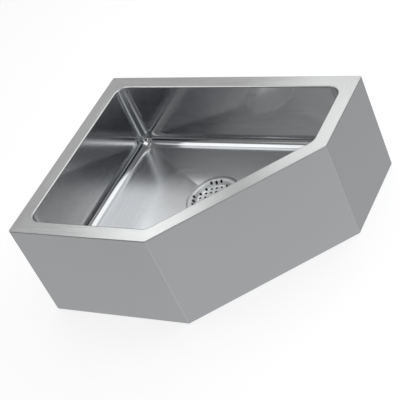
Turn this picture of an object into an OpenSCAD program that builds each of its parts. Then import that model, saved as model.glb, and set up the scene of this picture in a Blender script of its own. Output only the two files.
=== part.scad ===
// Corner mop service sink in brushed stainless sheet: a coved bowl hung from a flat rim,
// closed by skirts down to the floor, with a lift-out perforated strainer over the waste.
// +X runs along the rear wall, +Y goes back to it, the clipped corner is at +X -Y,
// and the origin is on the floor, under the middle of the plan.

/* [Outside] */
// Side to side, along the rear wall
overall_w = 711; // [600:1:900]
// Front to rear, along the left wall
overall_d = 559; // [480:1:700]
// Floor to the top of the rim
overall_h = 280; // [240:1:380]
// How much of each side the clipped corner takes off
corner_cut = 320; // [260:1:360]
// Thickness of the stainless sheet
sheet_t = 1.6; // [1.2:0.1:2]
// Outer radius of every folded edge of the skirts
fold_r = 3; // [2.5:0.5:5]
// Depth of the folds that turn in at the floor
foot_fold_w = 14; // [8:1:20]
// Depth of the folds that turn in under the rim
head_fold_w = 16; // [8:1:20]
// Length that a skirt turns past a wall-side corner, up to its weld
corner_return = 30; // [25:1:60]

/* [Bowl] */
// Width of the flat rim
rim_w = 38; // [32:1:60]
// Radius of the rolled edge between the rim and the bowl
roll_r = 4; // [2.5:0.5:6]
// Rim top to the floor of the bowl, at the coves
bowl_depth = 186; // [140:1:196]
// Radius of the coves and of the upright corners
cove_r = 30; // [20:1:40]
// Fall of the creased floor, from the coves to the middle of the drain
floor_fall = 10; // [6:1:14]
// Left wall side to the middle of the drain
drain_from_left = 336; // [300:1:380]
// Rear wall side to the middle of the drain
drain_from_rear = 227; // [215:1:260]
// Depth of the pressed seat round the drain hole
seat_depth = 2.2; // [1.5:0.1:4]

/* [Drain] */
// Outer diameter of the drain's flange
flange_d = 138; // [122:1:152]
// Width of the flange's top face, outside the strainer
flange_land = 4.6; // [3:0.1:8]
// Thickness of the flange under the strainer's rim
flange_t = 2; // [1.5:0.1:3]
// Radius of the flange's top edge
flange_edge_r = 1.5; // [0.5:0.5:2]
// Width of the ledge that the strainer lies on
ledge_w = 4.8; // [4:0.1:6]
// Thickness of the threaded barrel's wall
barrel_wall = 3.9; // [3:0.1:4.5]
// Length of the threaded barrel, below the flange
barrel_h = 27; // [24:1:30]
// Thickness of the outlet socket's wall
socket_wall = 4; // [3:0.5:5]
// Length of the outlet socket, below the barrel
socket_h = 44; // [34:1:46]
// Diameter of the waste pipe that the socket's seal takes
pipe_d = 88.9; // [80:0.1:94]
// Thickness of the pipe seal, between the pipe and the socket
pipe_seal_t = 6.55; // [4:0.05:8]
// Length of the pipe seal
pipe_seal_h = 30; // [20:1:32]
// Thickness of the gasket under the flange
gasket_t = 1; // [0.5:0.1:2]
// Thickness of the rubber washer under the bowl
washer_t = 3; // [2:0.5:5]
// Thickness of the friction ring
friction_t = 1; // [0.5:0.1:2]
// Height of the lock nut
nut_h = 12; // [8:1:14]
// Thickness of the lock nut's ring, outside the thread
nut_wall = 10; // [8:0.5:12]
// Number of lugs on the lock nut
nut_lugs = 6; // [4:1:8]
// How far a lug stands out of the lock nut
lug_out = 6; // [4:1:9]
// Width of a lug
lug_w = 12; // [8:1:16]

/* [Strainer] */
// Thickness of the strainer's sheet
strainer_t = 1.5; // [1.2:0.1:2]
// Depth of the dish
dish_depth = 11; // [8:0.5:14]
// Slope of the dish's wall, in degrees
dish_slope = 52; // [40:1:65]
// Inner radius of the dish's two bends
dish_bend_r = 2; // [1:0.5:3]
// Diameter of a strainer hole
hole_d = 6.5; // [5:0.5:7]
// Distance between strainer holes
hole_pitch = 13.5; // [12:0.5:16]
// Turn of the square grid of holes, in degrees
hole_turn = 17; // [0:1:45]
// Sheet left between the outermost holes and the flat of the strainer's rim
hole_margin = 0.2; // [0.2:0.1:4]
// Side clearance of the strainer in its rebate
strainer_gap = 0.4; // [0.3:0.1:0.6]

/* [Underside] */
// Width of a bearer's crown
crown_w = 30; // [24:1:34]
// Width of each flange of a bearer
bearer_flange_w = 15; // [14:0.5:16]
// Height of a bearer
bearer_h = 25; // [20:1:30]
// Thickness of the bearers
bearer_t = 2; // [1.5:0.1:3]
// Left cove to the middle of the side bearer
side_bearer_in = 87; // [80:1:95]
// Clipped corner's cove to the middle of the corner bearer
corner_bearer_in = 40; // [36:1:44]
// Thickness of the sound tape on the bearers
tape_t = 2; // [1:0.5:3]
// Floor crease to the end of the tape
tape_margin = 8; // [4:1:20]
// End of the tape to the first stud
stud_inset = 40; // [25:1:60]
// Diameter of the welded studs
stud_d = 6; // [5:0.5:6]
// Length of the studs
stud_l = 16; // [15:1:20]
// Diameter of the washers on the studs
stud_washer_d = 12; // [11:0.5:13]
// Thickness of the washers on the studs
stud_washer_t = 1.5; // [1:0.1:2]
// Width across the flats of the nuts on the studs
stud_nut_af = 10; // [9:0.5:11]
// Height of the nuts on the studs
stud_nut_h = 5; // [4:0.5:6]
// Thickness of the damping pads under the bowl
pad_t = 3; // [2:0.5:5]
// Clear strip between a damping pad and what lies beside it
pad_margin = 12; // [8:1:14]
// Width of the damping pads
pad_w = 60; // [40:1:64]
// Length of the left damping pad
left_pad_l = 260; // [150:5:280]
// Length of the rear and right damping pads
short_pad_l = 110; // [80:5:130]

/* [Hidden] */

$fn = 96;
over = 1;       // how far a cut runs past the face that it opens
slip = 0.05;    // side clearance of what slides on the barrel or a stud
edge_gap = 0.5; // step between two round edges that lie on each other
seat_gap = 1.5; // room round the flange in its seat
hole_gap = 1;   // room round the barrel in the bowl's hole
arc_step = 10;  // degrees between the points of a drawn arc
mitre_gap = 0.6; // notch at the end of a strip that is turned in
ledge = 0.01;   // how far the clipped side's sheet lies inside the faces of its corners
$inside = 0;    // how far inside its true faces a sheet's section is drawn

steel = [0.74, 0.75, 0.76];
bright_steel = [0.86, 0.87, 0.88];
zinc = [0.62, 0.64, 0.66];
rubber = [0.12, 0.12, 0.13];
fibre = [0.62, 0.5, 0.34];
mastic = [0.2, 0.2, 0.21];

// ------------------------------------------------------------------ the plan
// Corners run anticlockwise: front left, clip front, clip right, rear right, rear left.
// Side i leaves corner i in the direction edge_angle[i].
FRONT = 0;
CLIP = 1;
RIGHT = 2;
REAR = 3;
LEFT = 4;
sides = 5;
edge_angle = [0, 45, 90, 180, 270];
turn = [for (i = [0 : sides - 1]) (edge_angle[i] - edge_angle[(i + sides - 1) % sides] + 360) % 360];
clip_line = overall_w / 2 + overall_d / 2 - corner_cut;

// Corners of the outline, moved in by d on every side. The clipped side is kept to whole
// thousandths of a millimetre, so that sheets that meet at a corner meet exactly.
function inset(d) = let (
        x = overall_w / 2 - d,
        y = overall_d / 2 - d,
        clip = round(1000 * (clip_line - d * sqrt(2))) / 1000)
    [[-x, -y], [clip - y, -y], [x, x - clip], [x, y], [-x, y]];
function side_length(d, i) = norm(inset(d)[(i + 1) % sides] - inset(d)[i]);

// ------------------------------------------------------------------ heights and places
rim_under = overall_h - sheet_t;
roll_z = overall_h - roll_r;
floor_z = overall_h - bowl_depth;

// The floor inside the coves, and where the drain lies from each of its sides
floor_in = rim_w + cove_r;
floor_corners = inset(floor_in);
drain = [drain_from_left - overall_w / 2, overall_d / 2 - drain_from_rear];
drain_along = [for (i = [0 : sides - 1])
    (drain - floor_corners[i]) * [cos(edge_angle[i]), sin(edge_angle[i])]];
drain_across = [for (i = [0 : sides - 1])
    (drain - floor_corners[i]) * [-sin(edge_angle[i]), cos(edge_angle[i])]];
tilt = [for (across = drain_across) atan(floor_fall / across)];

// The drain's radii, from the flange in to the throat and out again to the barrel and seat
flange_r = flange_d / 2;
rebate_r = flange_r - flange_land;
throat_r = rebate_r - ledge_w;
barrel_r = throat_r + barrel_wall;
seat_r = flange_r + seat_gap;
seat_hole_r = barrel_r + hole_gap;
socket_bore_r = pipe_d / 2 + pipe_seal_t;
socket_r = socket_bore_r + socket_wall;

// The drain's heights, from its seat up to the strainer and down to the outlet
seat_z = floor_z - floor_fall * (1 - seat_r / max(drain_across)) - seat_depth;
flange_z = seat_z + gasket_t;
ledge_z = flange_z + flange_t;
flange_top = ledge_z + strainer_t;
barrel_z = flange_z - barrel_h;
socket_z = barrel_z - socket_h;
shoulder_h = 6;
lip_h = 2;      // the inturned lip that holds the pipe seal
lip_gap = 1.5;  // room round the pipe at the lip
washer_z = seat_z - sheet_t - washer_t;
friction_z = washer_z - friction_t;
nut_z = friction_z - nut_h;

// The strainer's dish: where its two bends are struck from
strainer_r = rebate_r - strainer_gap;
top_bend_r = dish_bend_r + strainer_t;
dish_r = throat_r - strainer_gap - top_bend_r * tan(dish_slope / 2);
top_bend = [dish_r + top_bend_r * tan(dish_slope / 2), flange_top - top_bend_r];
dish_bottom_r = dish_r - dish_depth / tan(dish_slope);
low_bend = [dish_bottom_r - dish_bend_r * tan(dish_slope / 2), flange_top - dish_depth + dish_bend_r];

// Bearers and pads
bearer_w = crown_w + 2 * bearer_flange_w;
stud_row = (crown_w + bearer_flange_w) / 2;
stud_hole_r = stud_d / 2 + 0.5;

// ------------------------------------------------------------------ sweeping round the plan

// A profile of [out, up], drawn from the outline moved in by d, run along side i.
// start and end are the lengths left off at its ends. Each end is measured from its own
// corner, and the two runs overlap halfway. The clipped side's section is drawn a hair
// inside its true faces, so that it meets its corners in a clear ledge, not in a near miss.
module along_side(d, i, start = 0, end = 0) {
    $inside = i == CLIP ? ledge : 0;
    run = floor((side_length(d, i) - start - end) / 2) + over;
    for (anchor = [[i, start + run], [(i + 1) % sides, -end]])
        translate(inset(d)[anchor[0]])
            rotate([0, 0, edge_angle[i]])
                translate([anchor[1], 0, 0])
                    rotate([90, 0, -90])
                        linear_extrude(run)
                            children();
}

// The same profile turned about corner i
module round_corner(d, i) {
    translate(inset(d)[i])
        rotate_extrude(angle = turn[i], start = edge_angle[(i + sides - 1) % sides] - 90)
            children();
}

module all_round(d) {
    for (i = [0 : sides - 1]) {
        along_side(d, i) union() children();
        round_corner(d, i) union() children();
    }
}

// A quarter of a ring of sheet, bent to the outer radius r, in the quadrant [qx, qy]
module quarter_bend(r, qx, qy) {
    intersection() {
        difference() {
            circle(r - $inside);
            circle(r - sheet_t + $inside);
        }
        translate([qx < 0 ? -r : 0, qy < 0 ? -r : 0]) square(r);
    }
}

// ------------------------------------------------------------------ bowl

module bowl_wall_profile() {
    translate([0, floor_z + cove_r]) quarter_bend(cove_r + sheet_t, 1, -1);
    translate([cove_r + $inside, floor_z + cove_r])
        square([sheet_t - 2 * $inside, roll_z - floor_z - cove_r - $inside]);
}

// The room over the creased floor, moved down by `drop`: one sloping plane from each side
module floor_room(drop) {
    intersection_for (i = [0 : sides - 1])
        translate([floor_corners[i].x, floor_corners[i].y, floor_z - drop])
            rotate([0, 0, edge_angle[i]])
                rotate([-tilt[i], 0, 0])
                    translate([-overall_w, -overall_w, 0])
                        cube([3 * overall_w, 3 * overall_w, overall_h]);
}

// A layer of the creased floor, from `top` to `under` below the face that holds the water
module floor_layer(top, under) {
    difference() {
        intersection() {
            linear_extrude(floor_z) polygon(floor_corners);
            floor_room(under);
        }
        floor_room(top);
    }
}

module bowl_floor() {
    difference() {
        union() {
            floor_layer(0, sheet_t);
            translate([drain.x, drain.y, seat_z - sheet_t])
                cylinder(r = seat_r + sheet_t, h = floor_z - seat_z);
        }
        floor_room(0);
        translate([drain.x, drain.y, seat_z])
            cylinder(r = seat_r, h = floor_z - seat_z + over);
        translate([drain.x, drain.y, seat_z - sheet_t - over])
            cylinder(r = seat_hole_r, h = sheet_t + 2 * over);
    }
}

module bowl() {
    color(steel) {
        all_round(floor_in) bowl_wall_profile();
        bowl_floor();
    }
}

// ------------------------------------------------------------------ rim

// The section of the rim's flat, `w` wide from `out`
module flat_profile(out, w) {
    translate([out, rim_under + $inside]) square([w - $inside, sheet_t - 2 * $inside]);
}

// The rolled edge and the round corners of the flat lie inside one plate, which fills the
// rim from halfway over the roll's tab to halfway under the rounded outer edge.
module top_rim() {
    roll_out = cove_r + roll_r;
    color(steel) {
        all_round(floor_in) {
            translate([roll_out, roll_z]) quarter_bend(roll_r, -1, 1);
            flat_profile(roll_out, over);
        }
        for (i = [0 : sides - 1])
            round_corner(floor_in, i) flat_profile(roll_out, rim_w - roll_r - fold_r);
        translate([0, 0, rim_under])
            linear_extrude(sheet_t)
                difference() {
                    polygon(inset(fold_r / 2));
                    polygon(inset(floor_in - roll_out - over / 2));
                }
        all_round(fold_r) flat_profile(0, fold_r);
    }
}

// ------------------------------------------------------------------ skirts

// A skirt's upright, with the bends at its foot and head
module skirt_profile() {
    translate([0, fold_r]) quarter_bend(fold_r, 1, -1);
    translate([fold_r - sheet_t + $inside, fold_r])
        square([sheet_t - 2 * $inside, rim_under - 2 * fold_r]);
    translate([0, rim_under - fold_r]) quarter_bend(fold_r, 1, 1);
}

// The strip of side i that is turned in at height z, notched at the corners with a mitre
module turned_in(i, z, w, start = 0, end = 0) {
    from = start > 0 ? start : mitre_gap;
    to = side_length(fold_r, i) - (end > 0 ? end : mitre_gap);
    start_slant = start > 0 ? 0 : w * tan(turn[i] / 2);
    end_slant = end > 0 ? 0 : w * tan(turn[(i + 1) % sides] / 2);
    translate([inset(fold_r)[i].x, inset(fold_r)[i].y, z])
        rotate([0, 0, edge_angle[i]])
            linear_extrude(sheet_t)
                polygon([[from, 0], [to, 0], [to - end_slant, w], [from + start_slant, w]]);
}

module skirt_side(i, start = 0, end = 0) {
    along_side(fold_r, i, start, end) skirt_profile();
    turned_in(i, 0, foot_fold_w, start, end);
    turned_in(i, rim_under - sheet_t, head_fold_w, start, end);
}

// The short return of a skirt past the corner that opens or closes side i
module return_at_start(i) {
    along_side(fold_r, i, 0, side_length(fold_r, i) - corner_return) skirt_profile();
}

module return_at_end(i) {
    along_side(fold_r, i, side_length(fold_r, i) - corner_return, 0) skirt_profile();
}

// One sheet, folded at both ends of the clipped corner and round both wall-side corners
module front_apron() {
    color(steel) {
        for (i = [FRONT, CLIP, RIGHT]) skirt_side(i);
        for (i = [FRONT, CLIP, RIGHT, REAR]) round_corner(fold_r, i) skirt_profile();
        return_at_end(LEFT);
        return_at_start(REAR);
    }
}

module back_panel() {
    color(steel) {
        skirt_side(REAR, start = corner_return);
        round_corner(fold_r, LEFT) skirt_profile();
        return_at_start(LEFT);
    }
}

module left_side_panel() {
    color(steel) skirt_side(LEFT, start = corner_return, end = corner_return);
}

// ------------------------------------------------------------------ bearers

// Places children under the sloping part of the floor that starts at side i, `across` in
// from the cove: x runs along the side, y down the slope and z out of the sheet.
module under_floor(i, across) {
    translate([floor_corners[i].x, floor_corners[i].y, floor_z])
        rotate([0, 0, edge_angle[i]])
            rotate([-tilt[i], 0, 0])
                translate([0, across, -sheet_t * cos(tilt[i])])
                    children();
}

// Where the level stretch between the creases starts and ends, `across` in from side i
function level_start(i, across) = drain_along[i] * across / drain_across[i];
function level_end(i, across) = let (length = side_length(floor_in, i))
    length - (length - drain_along[i]) * across / drain_across[i];
function tape_start(i, across) = level_start(i, across + bearer_w / 2) + tape_margin;
function tape_end(i, across) = level_end(i, across + bearer_w / 2) - tape_margin;

module at_studs(i, across) {
    under_floor(i, across)
        for (x = [tape_start(i, across) + stud_inset, tape_end(i, across) - stud_inset])
            for (y = [-stud_row, stud_row])
                translate([x, y, 0]) children();
}

// A hat section, its flanges up against the tape and its ends fitted to the skirts
module bearer(i, across) {
    color(zinc)
        difference() {
            intersection() {
                under_floor(i, across)
                    translate([-overall_w, 0, -tape_t])
                        rotate([90, 0, 90])
                            linear_extrude(3 * overall_w)
                                difference() {
                                    union() {
                                        translate([-bearer_w / 2, -bearer_t])
                                            square([bearer_w, bearer_t]);
                                        translate([-crown_w / 2, -bearer_h])
                                            square([crown_w, bearer_h]);
                                    }
                                    translate([-crown_w / 2 + bearer_t, -bearer_h + bearer_t])
                                        square([crown_w - 2 * bearer_t, bearer_h]);
                                }
                linear_extrude(rim_under) polygon(inset(sheet_t));
            }
            at_studs(i, across)
                translate([0, 0, -tape_t - bearer_t - over])
                    cylinder(r = stud_hole_r, h = bearer_t + 2 * over);
        }
}

module bearer_tape(i, across) {
    color(rubber)
        difference() {
            under_floor(i, across)
                for (y = [-bearer_w / 2, crown_w / 2])
                    translate([tape_start(i, across), y, -tape_t])
                        cube([tape_end(i, across) - tape_start(i, across), bearer_flange_w, tape_t]);
            at_studs(i, across)
                translate([0, 0, -tape_t - over])
                    cylinder(r = stud_hole_r, h = tape_t + 2 * over);
        }
}

module on_all_studs(drop) {
    at_studs(LEFT, side_bearer_in) translate([0, 0, -drop]) children();
    at_studs(CLIP, corner_bearer_in) translate([0, 0, -drop]) children();
}

module side_bearer() bearer(LEFT, side_bearer_in);
module corner_bearer() bearer(CLIP, corner_bearer_in);
module side_bearer_tape() bearer_tape(LEFT, side_bearer_in);
module corner_bearer_tape() bearer_tape(CLIP, corner_bearer_in);

module bearer_studs() {
    color(steel)
        on_all_studs(stud_l) cylinder(d = stud_d, h = stud_l);
}

module bearer_washers() {
    color(zinc)
        on_all_studs(tape_t + bearer_t + stud_washer_t)
            difference() {
                cylinder(d = stud_washer_d, h = stud_washer_t);
                translate([0, 0, -over])
                    cylinder(r = stud_d / 2 + slip, h = stud_washer_t + 2 * over);
            }
}

module bearer_nuts() {
    color(zinc)
        on_all_studs(tape_t + bearer_t + stud_washer_t + stud_nut_h)
            difference() {
                cylinder(d = stud_nut_af / cos(30), h = stud_nut_h, $fn = 6);
                translate([0, 0, -over])
                    cylinder(r = stud_d / 2 + slip, h = stud_nut_h + 2 * over);
            }
}

// ------------------------------------------------------------------ damping pads

// A pad stuck under the floor, over the rectangle from `low`, that follows the creases
module damping_pad(low, size) {
    color(mastic)
        intersection() {
            floor_layer(sheet_t, sheet_t + pad_t);
            translate([low.x, low.y, 0])
                cube([size.x, size.y, floor_z]);
        }
}

left_pad_x = floor_corners[LEFT].x + side_bearer_in + bearer_w / 2 + pad_margin;
seat_edge = seat_r + sheet_t;
rear_pad_y = (drain.y + seat_edge + floor_corners[REAR].y - pad_w) / 2;
right_pad_x = drain.x + seat_edge + pad_margin;
bearer_line = clip_line - (floor_in + corner_bearer_in + bearer_w / 2 + pad_margin) * sqrt(2);
right_pad_y = right_pad_x + pad_w - bearer_line;

module left_damping_pad() damping_pad([left_pad_x, -left_pad_l / 2], [pad_w, left_pad_l]);
module rear_damping_pad() damping_pad([drain.x - short_pad_l / 2, rear_pad_y], [short_pad_l, pad_w]);
module right_damping_pad() damping_pad([right_pad_x, right_pad_y], [pad_w, short_pad_l]);

// ------------------------------------------------------------------ drain

module at_drain(z = 0) {
    translate([drain.x, drain.y, z]) children();
}

// A flat ring on the drain's axis
module drain_ring(z, h, inner, outer) {
    at_drain(z)
        difference() {
            cylinder(r = outer, h = h);
            translate([0, 0, -over]) cylinder(r = inner, h = h + 2 * over);
        }
}

// Points of an arc of radius r about c, from angle a to angle b
function arc(c, r, a, b) = let (n = ceil(abs(b - a) / arc_step))
    [for (k = [0 : n]) c + r * [cos(a + (b - a) * k / n), sin(a + (b - a) * k / n)]];

module drain_body() {
    edge = [flange_r - flange_edge_r, flange_top - flange_edge_r];
    color(bright_steel)
        at_drain()
            rotate_extrude()
                polygon(concat(
                    [[rebate_r, flange_top]],
                    arc(edge, flange_edge_r, 90, 0),
                    [[flange_r, flange_z], [barrel_r, flange_z], [barrel_r, barrel_z],
                     [socket_r, barrel_z - shoulder_h], [socket_r, socket_z],
                     [pipe_d / 2 + lip_gap, socket_z], [pipe_d / 2 + lip_gap, socket_z + lip_h],
                     [socket_bore_r, socket_z + lip_h], [socket_bore_r, barrel_z - shoulder_h],
                     [throat_r, barrel_z + shoulder_h], [throat_r, ledge_z], [rebate_r, ledge_z]]));
}

module flange_gasket() {
    color(rubber) drain_ring(seat_z, gasket_t, seat_hole_r, flange_r - edge_gap);
}

module drain_washer() {
    color(rubber) drain_ring(washer_z, washer_t, barrel_r + slip, seat_r - edge_gap);
}

module friction_ring() {
    color(fibre) drain_ring(friction_z, friction_t, barrel_r + slip, seat_r - edge_gap);
}

module lock_nut() {
    nut_r = barrel_r + nut_wall;
    color(zinc)
        difference() {
            union() {
                at_drain(nut_z) cylinder(r = nut_r, h = nut_h);
                for (k = [0 : nut_lugs - 1])
                    at_drain(nut_z)
                        rotate([0, 0, 360 * k / nut_lugs])
                            translate([barrel_r + nut_wall / 2, -lug_w / 2, 0])
                                cube([nut_wall / 2 + lug_out, lug_w, nut_h]);
            }
            at_drain(nut_z - over) cylinder(r = barrel_r + slip, h = nut_h + 2 * over);
        }
}

module pipe_seal() {
    color(rubber) drain_ring(socket_z + lip_h, pipe_seal_h, pipe_d / 2, socket_bore_r);
}

// ------------------------------------------------------------------ strainer

// One pressed sheet: flat rim, sloping wall, flat bottom. Above and below run side by side.
module strainer_profile() {
    slope = 90 + dish_slope;
    above = concat([[strainer_r, flange_top]],
        arc(top_bend, top_bend_r, 90, slope),
        arc(low_bend, -dish_bend_r, slope, 90),
        [[0, flange_top - dish_depth]]);
    below = concat([[0, flange_top - dish_depth - strainer_t]],
        arc(low_bend, -dish_bend_r - strainer_t, 90, slope),
        arc(top_bend, dish_bend_r, slope, 90),
        [[strainer_r, ledge_z]]);
    polygon(concat(above, below));
}

// The grid of holes covers the bottom and runs up the sloping wall
module strainer_cup() {
    reach = top_bend.x - hole_d / 2 - hole_margin;
    rows = floor(reach / hole_pitch);
    color(bright_steel)
        at_drain()
            difference() {
                rotate_extrude() strainer_profile();
                rotate([0, 0, hole_turn])
                    for (u = [-rows : rows], v = [-rows : rows])
                        if (norm([u, v]) * hole_pitch < reach)
                            translate([u * hole_pitch, v * hole_pitch, flange_top - 2 * dish_depth])
                                cylinder(d = hole_d, h = 3 * dish_depth, $fn = 24);
            }
}

bowl();
top_rim();
front_apron();
left_side_panel();
back_panel();
side_bearer();
corner_bearer();
side_bearer_tape();
corner_bearer_tape();
bearer_studs();
bearer_washers();
bearer_nuts();
left_damping_pad();
rear_damping_pad();
right_damping_pad();
drain_body();
flange_gasket();
drain_washer();
friction_ring();
lock_nut();
pipe_seal();
strainer_cup();
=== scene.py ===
# A floor-standing corner mop sink in brushed stainless sheet, with its lift-out strainer.
# Lengths are metres, +Z is up, +Y goes back to the rear wall and -X to the left wall.
import math

import bpy
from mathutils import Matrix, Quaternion, Vector


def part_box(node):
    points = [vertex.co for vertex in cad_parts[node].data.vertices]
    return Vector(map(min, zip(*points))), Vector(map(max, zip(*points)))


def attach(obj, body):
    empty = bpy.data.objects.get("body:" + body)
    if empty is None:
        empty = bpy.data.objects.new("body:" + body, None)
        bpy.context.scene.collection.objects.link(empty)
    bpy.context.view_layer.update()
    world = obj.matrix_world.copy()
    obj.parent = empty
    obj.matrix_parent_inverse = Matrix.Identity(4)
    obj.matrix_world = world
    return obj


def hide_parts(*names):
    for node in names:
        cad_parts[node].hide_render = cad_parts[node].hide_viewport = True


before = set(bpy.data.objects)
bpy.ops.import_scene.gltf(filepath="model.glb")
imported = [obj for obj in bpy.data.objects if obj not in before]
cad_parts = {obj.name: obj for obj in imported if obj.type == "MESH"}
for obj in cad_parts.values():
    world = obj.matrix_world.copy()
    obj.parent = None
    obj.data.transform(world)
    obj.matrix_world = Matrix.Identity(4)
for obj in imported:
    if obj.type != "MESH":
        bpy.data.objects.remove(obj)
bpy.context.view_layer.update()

# ---------------------------------------------------------------- camera
# A long lens, above and to the right of the sink's front, and rolled a good quarter of
# a right angle, so that the sink seems to tip forward on its clipped corner.
camera_place = Vector((1.5944, -1.7637, 1.9831))
camera_azimuth = math.radians(42.41)
camera_elevation = math.radians(37.84)
camera_roll = math.radians(-26.24)

camera = bpy.data.objects.new("camera", bpy.data.cameras.new("camera"))
camera.data.sensor_width = 36.0
camera.data.lens = 112.45
camera.data.clip_end = 50.0
looking = Vector((
    -math.sin(camera_azimuth) * math.cos(camera_elevation),
    math.cos(camera_azimuth) * math.cos(camera_elevation),
    -math.sin(camera_elevation),
))
camera.location = camera_place
camera.rotation_mode = "QUATERNION"
camera.rotation_quaternion = looking.to_track_quat("-Z", "Y") @ Quaternion((0, 0, 1), camera_roll)
bpy.context.collection.objects.link(camera)
bpy.context.scene.camera = camera

# ---------------------------------------------------------------- bowl
# Pressed and welded from 1.6 mm stainless sheet: plain walls, coves all round, ball
# corners, and a floor that is creased from every corner to the seat of the drain.
# The inside is brushed along the walls and linished smooth over the coves.
plan_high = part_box("top_rim")[1]    # the sink is centred, so this corner gives the whole plan
sheet_thickness = 0.0016
corner_cut = 0.320      # what the clipped corner takes off each side
rim_width = 0.038
roll_radius = 0.004
cove_radius = 0.030
floor_height = 0.094    # at the coves
floor_fall = 0.010
drain_low, drain_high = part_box("drain_body")
drain_centre = Vector(((drain_low.x + drain_high.x) / 2, (drain_low.y + drain_high.y) / 2))
seat_radius = 0.0705
seat_hole_radius = 0.0645
seat_height = 0.0841
seat_bend = 0.0011      # width of the bend from the floor down to the seat
HEADINGS = [math.radians(a) for a in (0, 45, 90, 180, 270)]
SIDES = len(HEADINGS)
FRONT, CLIP, RIGHT, REAR, LEFT = range(SIDES)


def plan_corners(inward):
    """The plan's corners, moved in from the outline, anticlockwise from the front left."""
    x = plan_high.x - inward
    y = plan_high.y - inward
    clip = plan_high.x + plan_high.y - corner_cut - inward * math.sqrt(2)
    return [Vector(p) for p in ((-x, -y), (clip - y, -y), (x, x - clip), (x, y), (-x, y))]


def outward(angle):
    """The unit vector that points out of a side with this heading."""
    return Vector((math.sin(angle), -math.cos(angle)))


class Station:
    """A place on the way round the plan: at an angle in a corner, or part way along a side."""

    def __init__(self, side, angle, share=0.0):
        self.side = side
        self.share = share
        self.out = outward(angle)

    def at(self, inward, out):
        """The place in the plan that lies `out` from the outline moved in by `inward`."""
        corners = plan_corners(inward)
        here = corners[self.side].lerp(corners[(self.side + 1) % SIDES], self.share)
        return here + self.out * out


def turn_at(corner):
    """The angle by which the outline turns at a corner."""
    return (HEADINGS[corner % SIDES] - HEADINGS[(corner - 1) % SIDES]) % (2 * math.pi)


def corner_stations(corner, steps):
    """Stations that turn round a corner, from the side before it to the side after it."""
    before = HEADINGS[(corner - 1) % SIDES]
    turn = turn_at(corner)
    return [Station(corner, before + turn * k / steps) for k in range(steps + 1)]


def side_stations(side, marks):
    """Stations along a side, at these shares of its length."""
    return [Station(side, HEADINGS[side], share) for share in marks]


def closing_in(steps):
    """Shares of a side's length that lie closer together towards both its ends."""
    return [(1 - math.cos(math.pi * k / steps)) / 2 for k in range(1, steps)]


def all_round(corner_steps, marks):
    """Stations right round the plan, the first one repeated at the end."""
    stations = []
    for side in range(SIDES):
        stations += corner_stations(side, corner_steps) + side_stations(side, marks)
    return stations + stations[:1]


class Sheet:
    """A mesh made of patches that are welded where they meet and keep their own normals."""

    weld_steps = 2e6    # to the metre; corners that round to the same step become one

    def __init__(self):
        self.places = []
        self.found = {}
        self.faces = []
        self.normals = []
        self.spots = []

    def vertex(self, place):
        """The number of the vertex at a place, which is added where there is none."""
        key = tuple(round(c * self.weld_steps) for c in place)
        if key not in self.found:
            self.found[key] = len(self.places)
            self.places.append(tuple(place))
        return self.found[key]

    def face(self, corners):
        """Adds one face from (place, normal, spot) corners, turned to suit the normals."""
        kept = []
        for place, normal, spot in corners:
            index = self.vertex(place)
            if index not in [k[0] for k in kept]:
                kept.append((index, Vector(place), normal, spot))
        if len(kept) < 3:
            return
        facing = Vector((0, 0, 0))
        for k in range(1, len(kept) - 1):
            facing += (kept[k][1] - kept[0][1]).cross(kept[k + 1][1] - kept[0][1])
        if facing.dot(sum((k[2] for k in kept), Vector((0, 0, 0)))) < 0:
            kept.reverse()
        self.faces.append([k[0] for k in kept])
        self.normals += [k[2] for k in kept]
        self.spots += [k[3] for k in kept]

    def patch(self, places, normals):
        """A grid of rows of places, brushed from row to row; spots are metres on the sheet."""
        middle = len(places[0]) // 2
        along = [0.0]
        for before, after in zip(places, places[1:]):
            along.append(along[-1] + (after[middle] - before[middle]).length)
        half = len(places) // 2
        across = [0.0]
        for before, after in zip(places[half], places[half][1:]):
            across.append(across[-1] + (after - before).length)
        for r in range(len(places) - 1):
            for c in range(len(places[0]) - 1):
                ring = ((r, c), (r + 1, c), (r + 1, c + 1), (r, c + 1))
                self.face([(places[i][j], normals[i][j], (along[i], across[j])) for i, j in ring])

    def strip(self, first, second, normals):
        """A narrow band between two rows of places, such as the edge of a sheet.

        `normals` is one for the whole band, or a list with one for each of its places.
        """
        rows = list(zip(first, second))
        if isinstance(normals, Vector):
            normals = [normals] * len(rows)
        self.patch(rows, [[normal] * 2 for normal in normals])

    def build(self, name, material):
        """The piece in the scene, with the way it is brushed kept as its UV map."""
        mesh = bpy.data.meshes.new(name)
        mesh.from_pydata(self.places, [], self.faces)
        mesh.polygons.foreach_set("use_smooth", [True] * len(mesh.polygons))
        brushing = mesh.uv_layers.new(name="brushing")
        brushing.data.foreach_set("uv", [c for spot in self.spots for c in spot])
        mesh.normals_split_custom_set([tuple(n.normalized()) for n in self.normals])
        mesh.materials.append(material)
        piece = bpy.data.objects.new(name, mesh)
        bpy.context.collection.objects.link(piece)
        return piece


def raised(flat, height):
    """A place, or a direction, from its plan and its height."""
    return Vector((flat.x, flat.y, height))


def swept(stations, inward, section):
    """Places and normals of a section of (out, up, normal out, normal up) run round the plan."""
    places = []
    normals = []
    for station in stations:
        places.append([raised(station.at(inward, out), up) for out, up, _, _ in section])
        normals.append([raised(station.out * n_out, n_up) for _, _, n_out, n_up in section])
    return places, normals


def behind(places, normals, thickness):
    """The other face of a sheet, and its normals."""
    backs = [[p - n * thickness for p, n in zip(*row)] for row in zip(places, normals)]
    return backs, [[-n for n in row] for row in normals]


def arc_section(out, up, radius, start, end, steps, hollow):
    """An arc of a section about (out, up); a hollow one has its normals towards its middle."""
    side = -1 if hollow else 1
    points = []
    for k in range(steps + 1):
        angle = math.radians(start + (end - start) * k / steps)
        cos, sin = math.cos(angle), math.sin(angle)
        points.append((out + radius * cos, up + radius * sin, side * cos, side * sin))
    return points


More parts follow.
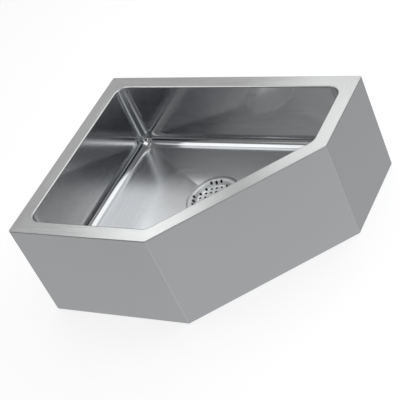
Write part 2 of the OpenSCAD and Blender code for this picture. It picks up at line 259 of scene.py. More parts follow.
floor_inset = rim_width + cove_radius
floor_corners = plan_corners(floor_inset)
floor_reach = [(drain_centre - corner).dot(-outward(heading))
               for corner, heading in zip(floor_corners, HEADINGS)]
crease_width = 0.004    # as a share of the way from a cove to the drain, as the next three are
crease_start = 0.1      # the share over which a crease widens, out of its corner
edge_ease = 0.022       # the share over which the floor curves down out of the cove
sharpest = 1e-6         # a crease's width in the corner itself


def floor_at(flat):
    """Height and normal of the creased floor: a plane from each side, softly folded."""
    shares = [max((flat - corner).dot(-outward(heading)) / reach, 0.0)
              for corner, heading, reach in zip(floor_corners, HEADINGS, floor_reach)]
    lowest = min(shares)
    width = crease_width * min(lowest / crease_start, 1.0) + sharpest
    weights = [math.exp((lowest - share) / width) for share in shares]
    share = max(lowest - width * math.log(sum(weights)), 0.0)
    if share < edge_ease:
        fall, steepness = share * share / (2 * edge_ease), share / edge_ease
    else:
        fall, steepness = share - edge_ease / 2, 1.0
    lean = Vector((0, 0))
    for weight, heading, reach in zip(weights, HEADINGS, floor_reach):
        lean += -outward(heading) * (weight / sum(weights) / reach)
    normal = raised(lean * floor_fall * steepness, 1.0).normalized()
    return floor_height - floor_fall * fall, normal


def seat_at(flat_floor, direction, radius):
    """Height and normal where the floor is pressed down to the seat of the drain."""
    top, normal = flat_floor
    share = (radius - seat_radius) / seat_bend
    depth = top - seat_height
    ease = share * share * (3 - 2 * share)
    slope = depth * 6 * share * (1 - share) / seat_bend
    lean = normal * ease + raised(direction * -slope, 1.0)
    return seat_height + depth * ease, lean.normalized()


def new_material(name):
    """A material, its node tree, and the shader of its surface."""
    material = bpy.data.materials.new(name)
    material.use_nodes = True
    return material, material.node_tree, material.node_tree.nodes["Principled BSDF"]


def carried_over(tree, value, from_range, to_range):
    """A value carried over from one range to another, and held at its ends."""
    mapped = tree.nodes.new("ShaderNodeMapRange")
    for socket, limit in zip(("From Min", "From Max", "To Min", "To Max"), (*from_range, *to_range)):
        mapped.inputs[socket].default_value = limit
    tree.links.new(value, mapped.inputs["Value"])
    return mapped.outputs["Result"]


def maths(tree, operation, first, second=None):
    """One sum with one or two values."""
    result = tree.nodes.new("ShaderNodeMath")
    result.operation = operation
    tree.links.new(first, result.inputs[0])
    if second:
        tree.links.new(second, result.inputs[1])
    return result.outputs["Value"]


def embossed(tree, height, strength, depth, under=None):
    """Normals that follow a pattern of this depth, on top of others."""
    bump = tree.nodes.new("ShaderNodeBump")
    bump.inputs["Strength"].default_value = strength
    bump.inputs["Distance"].default_value = depth
    tree.links.new(height, bump.inputs["Height"])
    if under:
        tree.links.new(under, bump.inputs["Normal"])
    return bump.outputs["Normal"]


def brushed_steel(name, colour, roughness, streak=0.05, uneven=0.03, grain_depth=0.1,
                  anisotropy=0.35, has_brushing=True, level=None, upright_painted_shade=None):
    """Stainless steel with fine drawn-out scratches, wider faint streaks and a slight wave.

    `streak` and `uneven` are how far the tone strays along the streaks and over wider clouds.
    `level` gives (roughness, tone) for the parts that lie flat: the roughness where a bowl is finished
    by hand, and the tone a painted highlight on what faces up. The last argument darkens upright
    faces, such as the walls of punched holes, as painted shade.
    """
    material, tree, surface = new_material(name)
    nodes, links = tree.nodes, tree.links
    surface.inputs["Metallic"].default_value = 1.0
    surface.inputs["Anisotropic"].default_value = anisotropy
    place = nodes.new("ShaderNodeTexCoord").outputs["Object"]
    spot = place
    if has_brushing:
        spots = nodes.new("ShaderNodeUVMap")
        spots.uv_map = "brushing"
        spot = spots.outputs["UV"]
        tangent = nodes.new("ShaderNodeTangent")
        tangent.direction_type = "UV_MAP"
        tangent.uv_map = "brushing"
        links.new(tangent.outputs["Tangent"], surface.inputs["Tangent"])

    def drawn_out(along, across, detail):
        """Noise that changes this many times in a metre along the brushing and across it."""
        mapping = nodes.new("ShaderNodeMapping")
        mapping.inputs["Scale"].default_value = (along, across, across)
        links.new(spot, mapping.inputs["Vector"])
        noise = nodes.new("ShaderNodeTexNoise")
        noise.inputs["Scale"].default_value = 1.0
        noise.inputs["Detail"].default_value = detail
        noise.inputs["Roughness"].default_value = 0.6
        links.new(mapping.outputs["Vector"], noise.inputs["Vector"])
        return noise.outputs["Fac"]

    scratches = drawn_out(along=35.0, across=2200.0, detail=2.0)
    streaks = drawn_out(along=7.0, across=260.0, detail=4.0)
    clouds = nodes.new("ShaderNodeTexNoise")
    clouds.inputs["Scale"].default_value = 5.0      # to the metre
    clouds.inputs["Detail"].default_value = 2.0
    links.new(place, clouds.inputs["Vector"])

    def strays(pattern, middle, by):
        """A value that strays from its middle by this share, as the pattern goes."""
        most_of_noise = (0.3, 0.7)
        return carried_over(tree, pattern, most_of_noise, (middle * (1 - by), middle * (1 + by)))

    tone = maths(tree, "MULTIPLY", strays(scratches, 1, streak), strays(streaks, 1, streak))
    tone = maths(tree, "MULTIPLY", tone, strays(clouds.outputs["Fac"], 1, uneven))
    gloss_share = 2.4       # the streaks show more in the gloss than in the tone
    rough = strays(streaks, roughness, gloss_share * streak)

    lie = nodes.new("ShaderNodeSeparateXYZ")
    links.new(nodes.new("ShaderNodeNewGeometry").outputs["Normal"], lie.inputs["Vector"])
    nearly_level = (0.95, 0.995)
    nearly_upright = (0.2, 0.6)
    if level:
        level_share = carried_over(tree, lie.outputs["Z"], nearly_level, (1.0, level[0] / roughness))
        rough = maths(tree, "MULTIPLY", rough, level_share)
        # The level parts' tone is a painted highlight that lightens what faces up.
        tone = maths(tree, "MULTIPLY", tone,
                     carried_over(tree, lie.outputs["Z"], nearly_level, (1.0, level[1])))
    # The upright faces' tone is painted shade that darkens them.
    if upright_painted_shade:
        tone = maths(tree, "MULTIPLY", tone,
                     carried_over(tree, lie.outputs["Z"], nearly_upright, (upright_painted_shade, 1.0)))
    links.new(rough, surface.inputs["Roughness"])
    tint = nodes.new("ShaderNodeVectorMath")
    tint.operation = "SCALE"
    tint.inputs[0].default_value = colour
    links.new(tone, tint.inputs["Scale"])
    links.new(tint.outputs["Vector"], surface.inputs["Base Color"])
    scratch_depth = 0.00005
    wave_depth = 0.0012
    wave_strength = 0.25
    grain = embossed(tree, scratches, grain_depth, scratch_depth)
    wave = embossed(tree, clouds.outputs["Fac"], wave_strength, wave_depth, under=grain)
    links.new(wave, surface.inputs["Normal"])
    return material


# The bowl's level floor is rougher, as it is finished, and its lighter tone there is a painted
# highlight.
bowl_steel = brushed_steel("bowl_steel", (0.57, 0.575, 0.585), 0.14, grain_depth=0.01,
                           level=(0.22, 1.18))

bowl_stations = all_round(corner_steps=12, marks=closing_in(44))
wall_top = plan_high.z - roll_radius
wall_foot = floor_height + cove_radius
wall_rows = 10
cove_steps = 20
bowl_section = [(cove_radius, wall_top + (wall_foot - wall_top) * k / wall_rows, -1.0, 0.0)
                for k in range(wall_rows)]
bowl_section += arc_section(0.0, wall_foot, cove_radius, 0, -90, cove_steps, hollow=True)

bowl_sheet = Sheet()
wall_places, wall_normals = swept(bowl_stations, floor_inset, bowl_section)
wall_backs, wall_back_normals = behind(wall_places, wall_normals, sheet_thickness)
bowl_sheet.patch(wall_places, wall_normals)
bowl_sheet.patch(wall_backs, wall_back_normals)
bowl_sheet.strip([row[0] for row in wall_places], [row[0] for row in wall_backs], Vector((0, 0, 1)))

# The floor runs from the coves in to the drain. All the stations of a corner meet in one
# point of it, so only the last of them has a row there.
floor_places = []
floor_normals = []
bend_steps = 8
inner_steps = 22
floor_shares = [0.0, 0.004, 0.009, 0.015, 0.023, 0.033, 0.045, 0.06]    # closest beside the cove
last_share = floor_shares[-1]
floor_shares += [last_share + (1 - last_share) * k / inner_steps for k in range(1, inner_steps + 1)]
for station in [s for s in bowl_stations if s.share > 0 or s.out == outward(HEADINGS[s.side])]:
    edge = station.at(floor_inset, 0.0)
    direction = (edge - drain_centre).normalized()
    bend_top = drain_centre + direction * (seat_radius + seat_bend)
    places = []
    normals = []
    for share in floor_shares:
        flat = edge.lerp(bend_top, share)
        height, normal = floor_at(flat)
        places.append(raised(flat, height))
        normals.append(normal)
    floor_end = floor_at(bend_top)
    for k in range(1, bend_steps + 1):
        radius = seat_radius + seat_bend * (1 - k / bend_steps)
        height, normal = seat_at(floor_end, direction, radius)
        places.append(raised(drain_centre + direction * radius, height))
        normals.append(normal)
    places.append(raised(drain_centre + direction * seat_hole_radius, seat_height))
    normals.append(Vector((0, 0, 1)))
    floor_places.append(places)
    floor_normals.append(normals)
floor_places.append(floor_places[0])
floor_normals.append(floor_normals[0])
down = Vector((0, 0, sheet_thickness))
floor_backs = [[place - down for place in row] for row in floor_places]
bowl_sheet.patch(floor_places, floor_normals)
bowl_sheet.patch(floor_backs, [[-n for n in row] for row in floor_normals])
hole_normals = [raised((drain_centre - Vector(row[-1][:2])).normalized(), 0.0) for row in floor_places]
bowl_sheet.strip([row[-1] for row in floor_places], [row[-1] for row in floor_backs], hole_normals)

bowl = bowl_sheet.build("sink_bowl", bowl_steel)
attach(bowl, "sink")
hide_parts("bowl")

# ---------------------------------------------------------------- rim
# One flat frame of the same sheet, rolled down into the bowl along its inner edge and
# ground to a fine radius along its outer one, where it overhangs the skirts' top bends.
rim_steel = brushed_steel("rim_steel", (0.615, 0.615, 0.61), 0.20, streak=0.065, uneven=0.04)
edge_radius = 0.0004
fold_radius = 0.003     # of the skirts' bends, under the rim's edge
roll_steps = 10
edge_steps = 4
flat_rows = 6
rim_stations = all_round(corner_steps=8, marks=closing_in(16))
rim_top = plan_high.z
roll_out = cove_radius + roll_radius

rim_sheet = Sheet()
roll_section = arc_section(roll_out, wall_top, roll_radius, 180, 90, roll_steps, hollow=False)
roll_places, roll_normals = swept(rim_stations, floor_inset, roll_section)
roll_backs, roll_back_normals = behind(roll_places, roll_normals, sheet_thickness)
rim_sheet.patch(roll_places, roll_normals)
rim_sheet.patch(roll_backs, roll_back_normals)
rim_sheet.strip([row[0] for row in roll_places], [row[0] for row in roll_backs], Vector((0, 0, -1)))

edge_out = fold_radius - edge_radius
edge_section = arc_section(edge_out, rim_top - edge_radius, edge_radius, 90, 0, edge_steps,
                           hollow=False)
edge_section += arc_section(edge_out, rim_top - sheet_thickness + edge_radius, edge_radius, 0, -90,
                            edge_steps, hollow=False)
edge_places, edge_normals = swept(rim_stations, fold_radius, edge_section)
rim_sheet.patch(edge_places, edge_normals)
for inner, outer, up in ((roll_places, 0, 1), (roll_backs, -1, -1)):
    rows = [[row[-1].lerp(edge_row[outer], k / flat_rows) for k in range(flat_rows + 1)]
            for row, edge_row in zip(inner, edge_places)]
    rim_sheet.patch(rows, [[Vector((0, 0, up))] * (flat_rows + 1)] * len(rows))

rim = rim_sheet.build("flat_rim", rim_steel)
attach(rim, "sink")
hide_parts("top_rim")

# ---------------------------------------------------------------- skirts
# Three folded sheets that close the sink down to the floor: one round the front, the
# clipped corner and the right side, one along the rear wall, one along the left wall.
# Each is turned in at its foot and its head, and welded where two of them meet.
skirt_steel = brushed_steel("skirt_steel", (0.595, 0.595, 0.60), 0.26, streak=0.008, uneven=0.012,
                            grain_depth=0.04)
skirt_top = rim_top - sheet_thickness
foot_fold = 0.014
head_fold = 0.016
corner_return = 0.030   # what a skirt turns past a wall-side corner, up to its weld
mitre_gap = 0.0006
fold_steps = 6
upright_rows = 8
corner_steps = 8
side_rows = 14
left_rows = 12
return_rows = 2

skirt_section = arc_section(0.0, fold_radius, fold_radius, -90, 0, fold_steps, hollow=False)
upright_height = skirt_top - 2 * fold_radius
skirt_section += [(fold_radius, fold_radius + upright_height * k / upright_rows, 1.0, 0.0)
                  for k in range(1, upright_rows)]
skirt_section += arc_section(0.0, skirt_top - fold_radius, fold_radius, 0, 90, fold_steps,
                             hollow=False)


def side_length(side, inward):
    """How long a side is, this far in from the outline."""
    corners = plan_corners(inward)
    return (corners[(side + 1) % SIDES] - corners[side]).length


def skirt(name, node, stations, folds):
    """A skirt along these stations, with (side, start, end) folds turned in at foot and head."""
    sheet = Sheet()
    places, normals = swept(stations, fold_radius, skirt_section)
    backs, back_normals = behind(places, normals, sheet_thickness)
    sheet.patch(places, normals)
    sheet.patch(backs, back_normals)
    for end, station, way in ((0, stations[0], -1), (-1, stations[-1], 1)):
        along = raised(Vector((-station.out.y, station.out.x)) * way, 0.0)
        sheet.strip(places[end], backs[end], along)
    inner = [raised(-station.out, 0.0) for station in stations]
    for column in (0, -1):
        sheet.strip([row[column] for row in places], [row[column] for row in backs], inner)
    for side, start, end in folds:
        for low, width in ((0.0, foot_fold), (skirt_top - sheet_thickness, head_fold)):
            turned_in(sheet, side, start, end, low, width)
    piece = sheet.build(name, skirt_steel)
    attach(piece, "sink")
    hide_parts(node)


def turned_in(sheet, side, start, end, low, width):
    """The strip of a skirt that is turned in, cut to a mitre where it reaches a corner."""
    corner = plan_corners(fold_radius)[side]
    inward = -outward(HEADINGS[side])
    ahead = Vector((inward.y, -inward.x))
    turns = (turn_at(side), turn_at(side + 1))
    first = start or mitre_gap
    last = side_length(side, fold_radius) - (end or mitre_gap)
    slants = [0.0 if cut else width * math.tan(turn / 2) for cut, turn in zip((start, end), turns)]
    outline = [corner + ahead * first, corner + ahead * last,
               corner + ahead * (last - slants[1]) + inward * width,
               corner + ahead * (first + slants[0]) + inward * width]
    for height, up in ((low, -1), (low + sheet_thickness, 1)):
        rows = [[raised(outline[0], height), raised(outline[3], height)],
                [raised(outline[1], height), raised(outline[2], height)]]
        sheet.patch(rows, [[Vector((0, 0, up))] * 2] * 2)
    middle = sum(outline, Vector((0, 0))) / 4
    for here, there in ((outline[1], outline[2]), (outline[2], outline[3]), (outline[3], outline[0])):
        facing = Vector(((there - here).y, -(there - here).x)).normalized()
        if facing.dot(here - middle) < 0:
            facing = -facing
        sheet.strip([raised(here, low), raised(there, low)],
                    [raised(here, low + sheet_thickness), raised(there, low + sheet_thickness)],
                    raised(facing, 0.0))


def marks_between(start, end, steps):
    """Shares of a side's length at even steps from one to another."""
    return [start + (end - start) * k / steps for k in range(steps + 1)]


left_share = corner_return / side_length(LEFT, fold_radius)
rear_share = corner_return / side_length(REAR, fold_radius)
front_stations = side_stations(LEFT, marks_between(1 - left_share, 1, return_rows)[:-1])
for side in (FRONT, CLIP, RIGHT):
    front_stations += corner_stations(side, corner_steps)
    front_stations += side_stations(side, marks_between(0, 1, side_rows)[1:-1])
front_stations += corner_stations(REAR, corner_steps)
front_stations += side_stations(REAR, marks_between(0, rear_share, return_rows)[1:])
rear_stations = side_stations(REAR, marks_between(rear_share, 1, side_rows)[:-1])
rear_stations += corner_stations(LEFT, corner_steps)
rear_stations += side_stations(LEFT, marks_between(0, left_share, return_rows)[1:])
left_stations = side_stations(LEFT, marks_between(left_share, 1 - left_share, left_rows))

skirt("front_skirt", "front_apron", front_stations, [(s, 0, 0) for s in (FRONT, CLIP, RIGHT)])
skirt("rear_skirt", "back_panel", rear_stations, [(REAR, corner_return, 0)])
skirt("left_skirt", "left_side_panel", left_stations, [(LEFT, corner_return, corner_return)])

# ---------------------------------------------------------------- drain
# A cast and turned stainless drain: the flange lies in the floor's seat, the threaded
# barrel hangs through it, and the socket under it takes the waste pipe.
drain_steel = brushed_steel("drain_steel", (0.80, 0.81, 0.82), 0.24, streak=0.03, uneven=0.02)
flange_radius = (drain_high.x - drain_low.x) / 2
flange_top = drain_high.z
flange_thickness = 0.0035
flange_under = flange_top - flange_thickness
flange_edge = 0.0010
flange_edge_steps = 6
ledge_depth = 0.0015    # of the rebate that the strainer lies in
ledge_height = flange_top - ledge_depth
rebate_radius = 0.0644
throat_radius = 0.0596
barrel_radius = 0.0635
barrel_length = 0.027
barrel_foot = flange_under - barrel_length
shoulder = 0.006
socket_radius = 0.055
socket_bore = 0.051
socket_foot = drain_low.z
lip_radius = 0.04595
lip_height = 0.002
turning_steps = 128


class Turned:
    """A turned piece about the drain's axis, its outline followed with the metal at the right."""

    def __init__(self):
        self.sheet = Sheet()

    def band(self, section):
        """Turns a section of (radius, height, normal out, normal up) about the axis."""
        places = []
        normals = []
        for k in range(turning_steps + 1):
            around = outward(2 * math.pi * (k % turning_steps) / turning_steps)
            places.append([raised(drain_centre + around * r, z) for r, z, _, _ in section])
            normals.append([raised(around * n_r, n_z) for _, _, n_r, n_z in section])
        self.sheet.patch(places, normals)

    def line(self, *points):
        """Turns an outline of straight lines, each with a crisp edge at both its ends."""
        for (r0, z0), (r1, z1) in zip(points, points[1:]):
            length = math.hypot(r1 - r0, z1 - z0)
            n_r, n_z = -(z1 - z0) / length, (r1 - r0) / length
            self.band([(r0, z0, n_r, n_z), (r1, z1, n_r, n_z)])


drain = Turned()
drain.line((rebate_radius, flange_top), (flange_radius - flange_edge, flange_top))
drain.band(arc_section(flange_radius - flange_edge, flange_top - flange_edge, flange_edge, 90, 0,
                       flange_edge_steps, hollow=False))
drain.line(
    (flange_radius, flange_top - flange_edge),
    (flange_radius, flange_under),
    (barrel_radius, flange_under),
    (barrel_radius, barrel_foot),
    (socket_radius, barrel_foot - shoulder),
    (socket_radius, socket_foot),
    (lip_radius, socket_foot),
    (lip_radius, socket_foot + lip_height),
    (socket_bore, socket_foot + lip_height),
    (socket_bore, barrel_foot - shoulder),
    (throat_radius, barrel_foot + shoulder),
    (throat_radius, ledge_height),
    (rebate_radius, ledge_height),
    (rebate_radius, flange_top),
)
drain_piece = drain.sheet.build("turned_drain", drain_steel)

# The flange is turned bright. The bore under its ledge is rough, as it was cast, and painted dark as
# painted shade for the deep inside of the drain.
drain_bore_painted_shade = brushed_steel("drain_bore_painted_shade", (0.16, 0.155, 0.15), 0.65, anisotropy=0.0)
drain_piece.data.materials.append(drain_bore_painted_shade)
bore_foot = socket_foot + lip_height
bore_top = ledge_height - 0.0001    # just under the ledge, which stays bright
# Faces of the bore under the ledge take the dark painted shade.
for face in drain_piece.data.polygons:
    from_axis = (Vector(face.center[:2]) - drain_centre).length
    if bore_foot < face.center.z < bore_top and from_axis < throat_radius:
        face.material_index = 1
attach(drain_piece, "sink")
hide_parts("drain_body")

# ---------------------------------------------------------------- strainer
# Pressed from one disc of 1.5 mm sheet and punched on a square grid. It lies loose on
# the drain's ledge and lifts straight out.


def refinish(node, material):
    """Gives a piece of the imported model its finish."""
    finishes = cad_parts[node].data.materials
    finishes.clear()
    finishes.append(material)


# The upright walls of its punched holes are painted dark, as painted shade, so that the holes read
# dark.
strainer_steel = brushed_steel("strainer_steel", (0.86, 0.87, 0.88), 0.42, streak=0.02, uneven=0.02,
                               anisotropy=0.0, has_brushing=False, upright_painted_shade=0.12)
refinish("strainer_cup", strainer_steel)

# ---------------------------------------------------------------- bearers and their fixings
# Two hat sections of galvanised sheet under the floor, held up on welded studs with
# washers and nuts, with rubber tape between them and the bowl.


def two_tones(tree, pattern, colour, low, high):
    """A colour that goes from (position, tone) to (position, tone) as the pattern goes."""
    tones = tree.nodes.new("ShaderNodeValToRGB")
    for element, (position, tone) in zip(tones.color_ramp.elements, (low, high)):
        element.position = position
        element.color = (*[min(c * tone, 1.0) for c in colour], 1.0)
    tree.links.new(pattern, tones.inputs["Fac"])
    return tones.outputs["Color"]


def galvanised(name, colour, roughness):
    """Zinc coated steel, with the faint patches of its crystals."""
    material, tree, surface = new_material(name)
    surface.inputs["Metallic"].default_value = 1.0
    place = tree.nodes.new("ShaderNodeTexCoord")
    crystals = tree.nodes.new("ShaderNodeTexVoronoi")
    crystals.inputs["Scale"].default_value = 160.0      # to the metre
    tree.links.new(place.outputs["Object"], crystals.inputs["Vector"])
    patches = crystals.outputs["Color"]
    tones = two_tones(tree, patches, colour, (0.0, 0.82), (1.0, 1.12))
    tree.links.new(tones, surface.inputs["Base Color"])
    sheen = carried_over(tree, patches, (0.0, 1.0), (roughness * 0.8, roughness * 1.25))
    tree.links.new(sheen, surface.inputs["Roughness"])
    return material


def moulded(name, colour, roughness, grain_size, depth):
    """A matt moulded or pressed material with a fine grain."""
    material, tree, surface = new_material(name)
    surface.inputs["Roughness"].default_value = roughness
    place = tree.nodes.new("ShaderNodeTexCoord")
    grain = tree.nodes.new("ShaderNodeTexNoise")
    grain.inputs["Scale"].default_value = 1 / grain_size
    grain.inputs["Detail"].default_value = 5.0
    tree.links.new(place.outputs["Object"], grain.inputs["Vector"])
    grains = grain.outputs["Fac"]
    tones = two_tones(tree, grains, colour, (0.3, 0.7), (0.7, 1.3))
    tree.links.new(tones, surface.inputs["Base Color"])
    grain_strength = 0.5
    tree.links.new(embossed(tree, grains, grain_strength, depth), surface.inputs["Normal"])
    return material


zinc = galvanised("zinc_coat", (0.56, 0.58, 0.60), 0.38)
stud_steel = brushed_steel("stud_steel", (0.55, 0.55, 0.55), 0.3, anisotropy=0.0, has_brushing=False)
rubber = moulded("black_rubber", (0.035, 0.035, 0.037), 0.7, 0.0012, 0.0002)
for node in ("side_bearer", "corner_bearer", "bearer_washers", "bearer_nuts"):
    refinish(node, zinc)
for node in ("side_bearer_tape", "corner_bearer_tape"):
    refinish(node, rubber)
refinish("bearer_studs", stud_steel)

# ---------------------------------------------------------------- damping pads
# Heavy mastic sheet, cut to size and stuck under the floor to deaden the noise of water.
mastic = moulded("damping_mastic", (0.075, 0.075, 0.082), 0.85, 0.003, 0.0006)
for node in ("left_damping_pad", "rear_damping_pad", "right_damping_pad"):
    refinish(node, mastic)

# ---------------------------------------------------------------- drain fixings
# What clamps the drain from below and seals it: gasket and washer of rubber, a ring of
# pressed fibre that lets the nut turn, the cast nut itself and the seal for the pipe.
fibre = moulded("pressed_fibre", (0.42, 0.31, 0.18), 0.8, 0.0015, 0.0002)
for node in ("flange_gasket", "drain_washer", "pipe_seal"):
    refinish(node, rubber)
refinish("friction_ring", fibre)
refinish("lock_nut", zinc)

# ---------------------------------------------------------------- floor
# The studio's paper floor, white to the eye with the sink's faint shadow, and clear from
# below. The steel looks through it to the air's glow. A dark disc of painted shade lies under the
# drain, so that the strainer's holes look down into the dark, as they do over a waste pipe.
floor_half = 6.0
floor_depth = 0.002     # how far it lies below the sink's feet
paper_grey = (0.6, 0.6, 0.6, 1)         # what throws light back up at the sink
lit_grey = (0.35, 0.35, 0.35, 1)        # what the eye sees of the lamps' light and the shadow
glow_strength = 0.78                    # what brings that grey up to white for the eye
shade_radius = 0.12
shade_depth = 0.001
shade_dark = (0.03, 0.03, 0.03, 1)
shade_steps = 48


def blank_tree(owner):
    """The emptied node tree of a material or a world."""
    owner.use_nodes = True
    owner.node_tree.nodes.clear()
    return owner.node_tree


def either(tree, factor, first, second):
    """The first shader where the factor is 0, and the second where it is 1."""
    mixed = tree.nodes.new("ShaderNodeMixShader")
    tree.links.new(factor, mixed.inputs["Fac"])
    tree.links.new(first, mixed.inputs[1])
    tree.links.new(second, mixed.inputs[2])
    return mixed.outputs["Shader"]


def matt(tree, colour):
    """Paper or cloth of one tone."""
    paper = tree.nodes.new("ShaderNodeBsdfDiffuse")
    paper.inputs["Color"].default_value = colour
    return paper.outputs["BSDF"]


def laid_out(name, outline, depth, material, surface):
    """A flat sheet of the studio, which is clear where it is looked at from below."""
    tree = material.node_tree
    from_below = tree.nodes.new("ShaderNodeNewGeometry").outputs["Backfacing"]
    clear = tree.nodes.new("ShaderNodeBsdfTransparent").outputs["BSDF"]
    out = tree.nodes.new("ShaderNodeOutputMaterial")
    tree.links.new(either(tree, from_below, surface, clear), out.inputs["Surface"])
    sheet = bpy.data.objects.new(name, bpy.data.meshes.new(name))
    sheet.data.from_pydata([raised(flat, -depth) for flat in outline], [], [range(len(outline))])
    sheet.data.materials.append(material)
    bpy.context.collection.objects.link(sheet)


floor_white = bpy.data.materials.new("floor_white")
floor_tree = blank_tree(floor_white)
rays = floor_tree.nodes.new("ShaderNodeLightPath")
see_through = floor_tree.nodes.new("ShaderNodeBsdfTransparent").outputs["BSDF"]
paper = matt(floor_tree, paper_grey)
in_steel = either(floor_tree, rays.outputs["Is Glossy Ray"], paper, see_through)
glow = floor_tree.nodes.new("ShaderNodeEmission")
glow.inputs["Strength"].default_value = glow_strength
lit_paper = floor_tree.nodes.new("ShaderNodeAddShader")
floor_tree.links.new(glow.outputs["Emission"], lit_paper.inputs[0])
floor_tree.links.new(matt(floor_tree, lit_grey), lit_paper.inputs[1])
to_the_eye = either(floor_tree, rays.outputs["Is Camera Ray"], in_steel, lit_paper.outputs["Shader"])
floor_outline = [Vector((x * floor_half, y * floor_half))
                 for x, y in ((-1, -1), (1, -1), (1, 1), (-1, 1))]
laid_out("studio_floor", floor_outline, floor_depth, floor_white, to_the_eye)

# The disc under the drain is painted shade: a dark sheet where the inside of the sink would be in
# shade.
shade_grey = bpy.data.materials.new("shade_grey")
shade_tree = blank_tree(shade_grey)
shade_ring = [drain_centre + outward(2 * math.pi * k / shade_steps) * shade_radius
              for k in range(shade_steps)]
laid_out("shade_under_drain", shade_ring, shade_depth, shade_grey, matt(shade_tree, shade_dark))

# ---------------------------------------------------------------- air
# The studio's air, pale to the eye. In the steel it is dark on the camera's side and along
# the horizon and grey to the left and the rear. It glows high over the camera, as a ceiling
# does, and below, as a lit floor does.
air = bpy.data.worlds.new("studio_air")
bpy.context.scene.world = air
air_tree = blank_tree(air)
direction = air_tree.nodes.new("ShaderNodeTexCoord").outputs["Generated"]
axes = air_tree.nodes.new("ShaderNodeSeparateXYZ")
air_tree.links.new(direction, axes.inputs["Vector"])
x_part, y_part, z_part = axes.outputs
rear_left = Vector((-0.8, 0.5, 0.0)).normalized()
camera_dark = (0.008, 0.016, 0.028)
room_tones = [(0.0, camera_dark), (1.0, (0.63, 0.635, 0.64)), (0.14, camera_dark),
              (0.34, (0.36, 0.35, 0.34)), (0.5, (0.23, 0.225, 0.22))]
ground_tones = [(0.0, (0.0, 0.0, 0.0)), (1.0, (0.985, 1.0, 1.02))]
ceiling_grey = (0.5, 0.5, 0.5, 1)


def air_range(value, from_range, to_range):
    return carried_over(air_tree, value, from_range, to_range)


def air_maths(operation, first, second=None):
    return maths(air_tree, operation, first, second)


def air_colour(factor, tones):
    """A colour from a row of (position, colour), of which the first two are its ends."""
    ramp = air_tree.nodes.new("ShaderNodeValToRGB")
    for element, (position, colour) in zip(ramp.color_ramp.elements, tones):
        element.position = position
        element.color = (*colour, 1)
    for position, colour in tones[2:]:
        ramp.color_ramp.elements.new(position).color = (*colour, 1)
    air_tree.links.new(factor, ramp.inputs["Fac"])
    return ramp.outputs["Color"]


def air_mix(factor, first, second):
    """The first colour where the factor is 0, and the second, or a plain grey, where it is 1."""
    mixed = air_tree.nodes.new("ShaderNodeMix")
    mixed.data_type = "RGBA"
    air_tree.links.new(factor, mixed.inputs["Factor"])
    air_tree.links.new(first, mixed.inputs["A"])
    if isinstance(second, tuple):
        mixed.inputs["B"].default_value = second
    else:
        air_tree.links.new(second, mixed.inputs["B"])
    return mixed.outputs["Result"]


towards = air_tree.nodes.new("ShaderNodeVectorMath")
towards.operation = "DOT_PRODUCT"
towards.inputs[1].default_value = rear_left
air_tree.links.new(direction, towards.inputs[0])
away_from_camera = towards.outputs["Value"]
room = air_colour(air_range(away_from_camera, (-1, 1), (0, 1)), room_tones)

# The glow from below is a little stronger to the front than to the rear, and stronger
# straight out from the sink's sides than at a slant to them.
slanting = air_maths("MULTIPLY", x_part, y_part)
by_side = air_range(y_part, (-0.58, 0.58), (0.545, 0.485))
by_slant = air_range(air_maths("ABSOLUTE", slanting), (0.0, 0.30), (1.6, 1.0))
lit_floor = air_maths("MULTIPLY", by_side, by_slant)
lit_floor = air_maths("MULTIPLY", lit_floor, air_range(slanting, (-0.3, 0.3), (1.05, 0.99)))
ground = air_colour(lit_floor, ground_tones)

above_camera = air_maths("MULTIPLY", air_range(z_part, (0.56, 0.68), (0, 1)),
                         air_range(away_from_camera, (-0.65, -0.4), (1, 0)))
room = air_mix(above_camera, room, ceiling_grey)
room = air_mix(air_range(z_part, (-0.02, 0.02), (1, 0)), room, ground)
dim = air_tree.nodes.new("ShaderNodeBackground")
air_tree.links.new(room, dim.inputs["Color"])
off_horizon = air_range(air_maths("ABSOLUTE", z_part), (0.0, 0.3), (0.25, 1.0))
air_tree.links.new(off_horizon, dim.inputs["Strength"])

# What looks straight at the air, or through something clear, sees it plain and pale.
pale = air_tree.nodes.new("ShaderNodeBackground")
rays = air_tree.nodes.new("ShaderNodeLightPath")
by_eye = air_maths("MAXIMUM", rays.outputs["Is Camera Ray"], rays.outputs["Is Transmission Ray"])
out = air_tree.nodes.new("ShaderNodeOutputWorld")
air_tree.links.new(either(air_tree, by_eye, dim.outputs["Background"], pale.outputs["Background"]),
                   out.inputs["Surface"])

# ---------------------------------------------------------------- lamps
# Soft boxes, which the camera doesn't see, placed where the steel mirrors them. They draw
# the bright fields and the pale lines on the rim, the walls, the coves and the floor.
cool_white = (0.965, 0.99, 1.0)
ceiling_height = 1.7


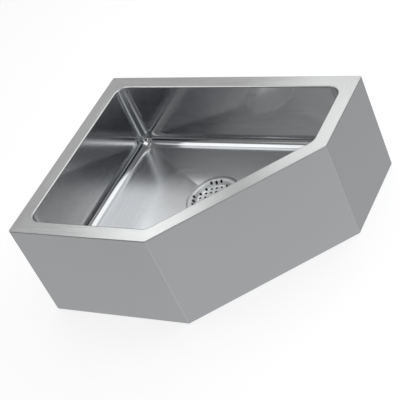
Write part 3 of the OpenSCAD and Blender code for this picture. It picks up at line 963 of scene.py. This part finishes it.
def soft_box(name, place, facing, width, height, brightness):
    """A rectangular lamp whose face is `brightness` times as bright as white paper."""
    lamp = bpy.data.lights.new(name, "AREA")
    lamp.shape = "RECTANGLE"
    lamp.size = width
    lamp.size_y = height
    lamp.energy = brightness * math.pi * width * height
    lamp.color = cool_white
    holder = bpy.data.objects.new(name, lamp)
    holder.location = place
    holder.rotation_mode = "QUATERNION"
    holder.rotation_quaternion = Vector(facing).to_track_quat("-Z", "Y")
    holder.visible_camera = False
    bpy.context.collection.objects.link(holder)


for name, x, y, width, depth, brightness in (
    ("right_overhead_box", 0.75, 0.87, 1.5, 2.2, 1.4),      # floor and left cove
    ("middle_overhead_box", -0.3, 0.85, 0.6, 0.8, 0.6),     # foot of the left cove
    ("left_overhead_box", -1.02, -0.21, 0.80, 0.92, 1.4),   # rear cove
    ("rear_left_box", -1.28, 0.98, 0.48, 0.64, 1.2),        # front of the rim
    ("rear_box", -0.66, 1.7, 0.62, 0.74, 0.95),             # right and rear of the rim
    ("front_left_box", -1.1, -1.8, 0.5, 0.7, 0.6),          # rear wall
):
    soft_box(name, (x, y, ceiling_height), (0, 0, -1), width, depth, brightness)
# Two more stand low on the right: a faint one for the coves, and one for the wall's side of
# the left cove, which also lights the rim in views from behind.
soft_box("rear_right_box", (2.3, 2.2, 0.95), (-0.7, -0.7, 0.0), 1.8, 1.1, 0.4)
soft_box("low_right_box", (2.05, -1.43, 0.75), (-0.82, 0.57, 0.0), 2.6, 1.0, 0.85)

# One upright box on each side of the camera and facing the sink, for its upright corners.
side_box_elevation = math.radians(38)
side_box_distance = 2.2
for name, azimuth in (("left_box", math.radians(-74)), ("right_box", math.radians(-15))):
    level_out = math.cos(side_box_elevation)
    side_box_out = Vector((math.cos(azimuth) * level_out, math.sin(azimuth) * level_out,
                           math.sin(side_box_elevation)))
    soft_box(name, side_box_out * side_box_distance, -side_box_out, 0.32, 0.7, 1.3)

# ---------------------------------------------------------------- view transform
# The picture's view transform.
bpy.context.scene.view_settings.view_transform = "Standard"
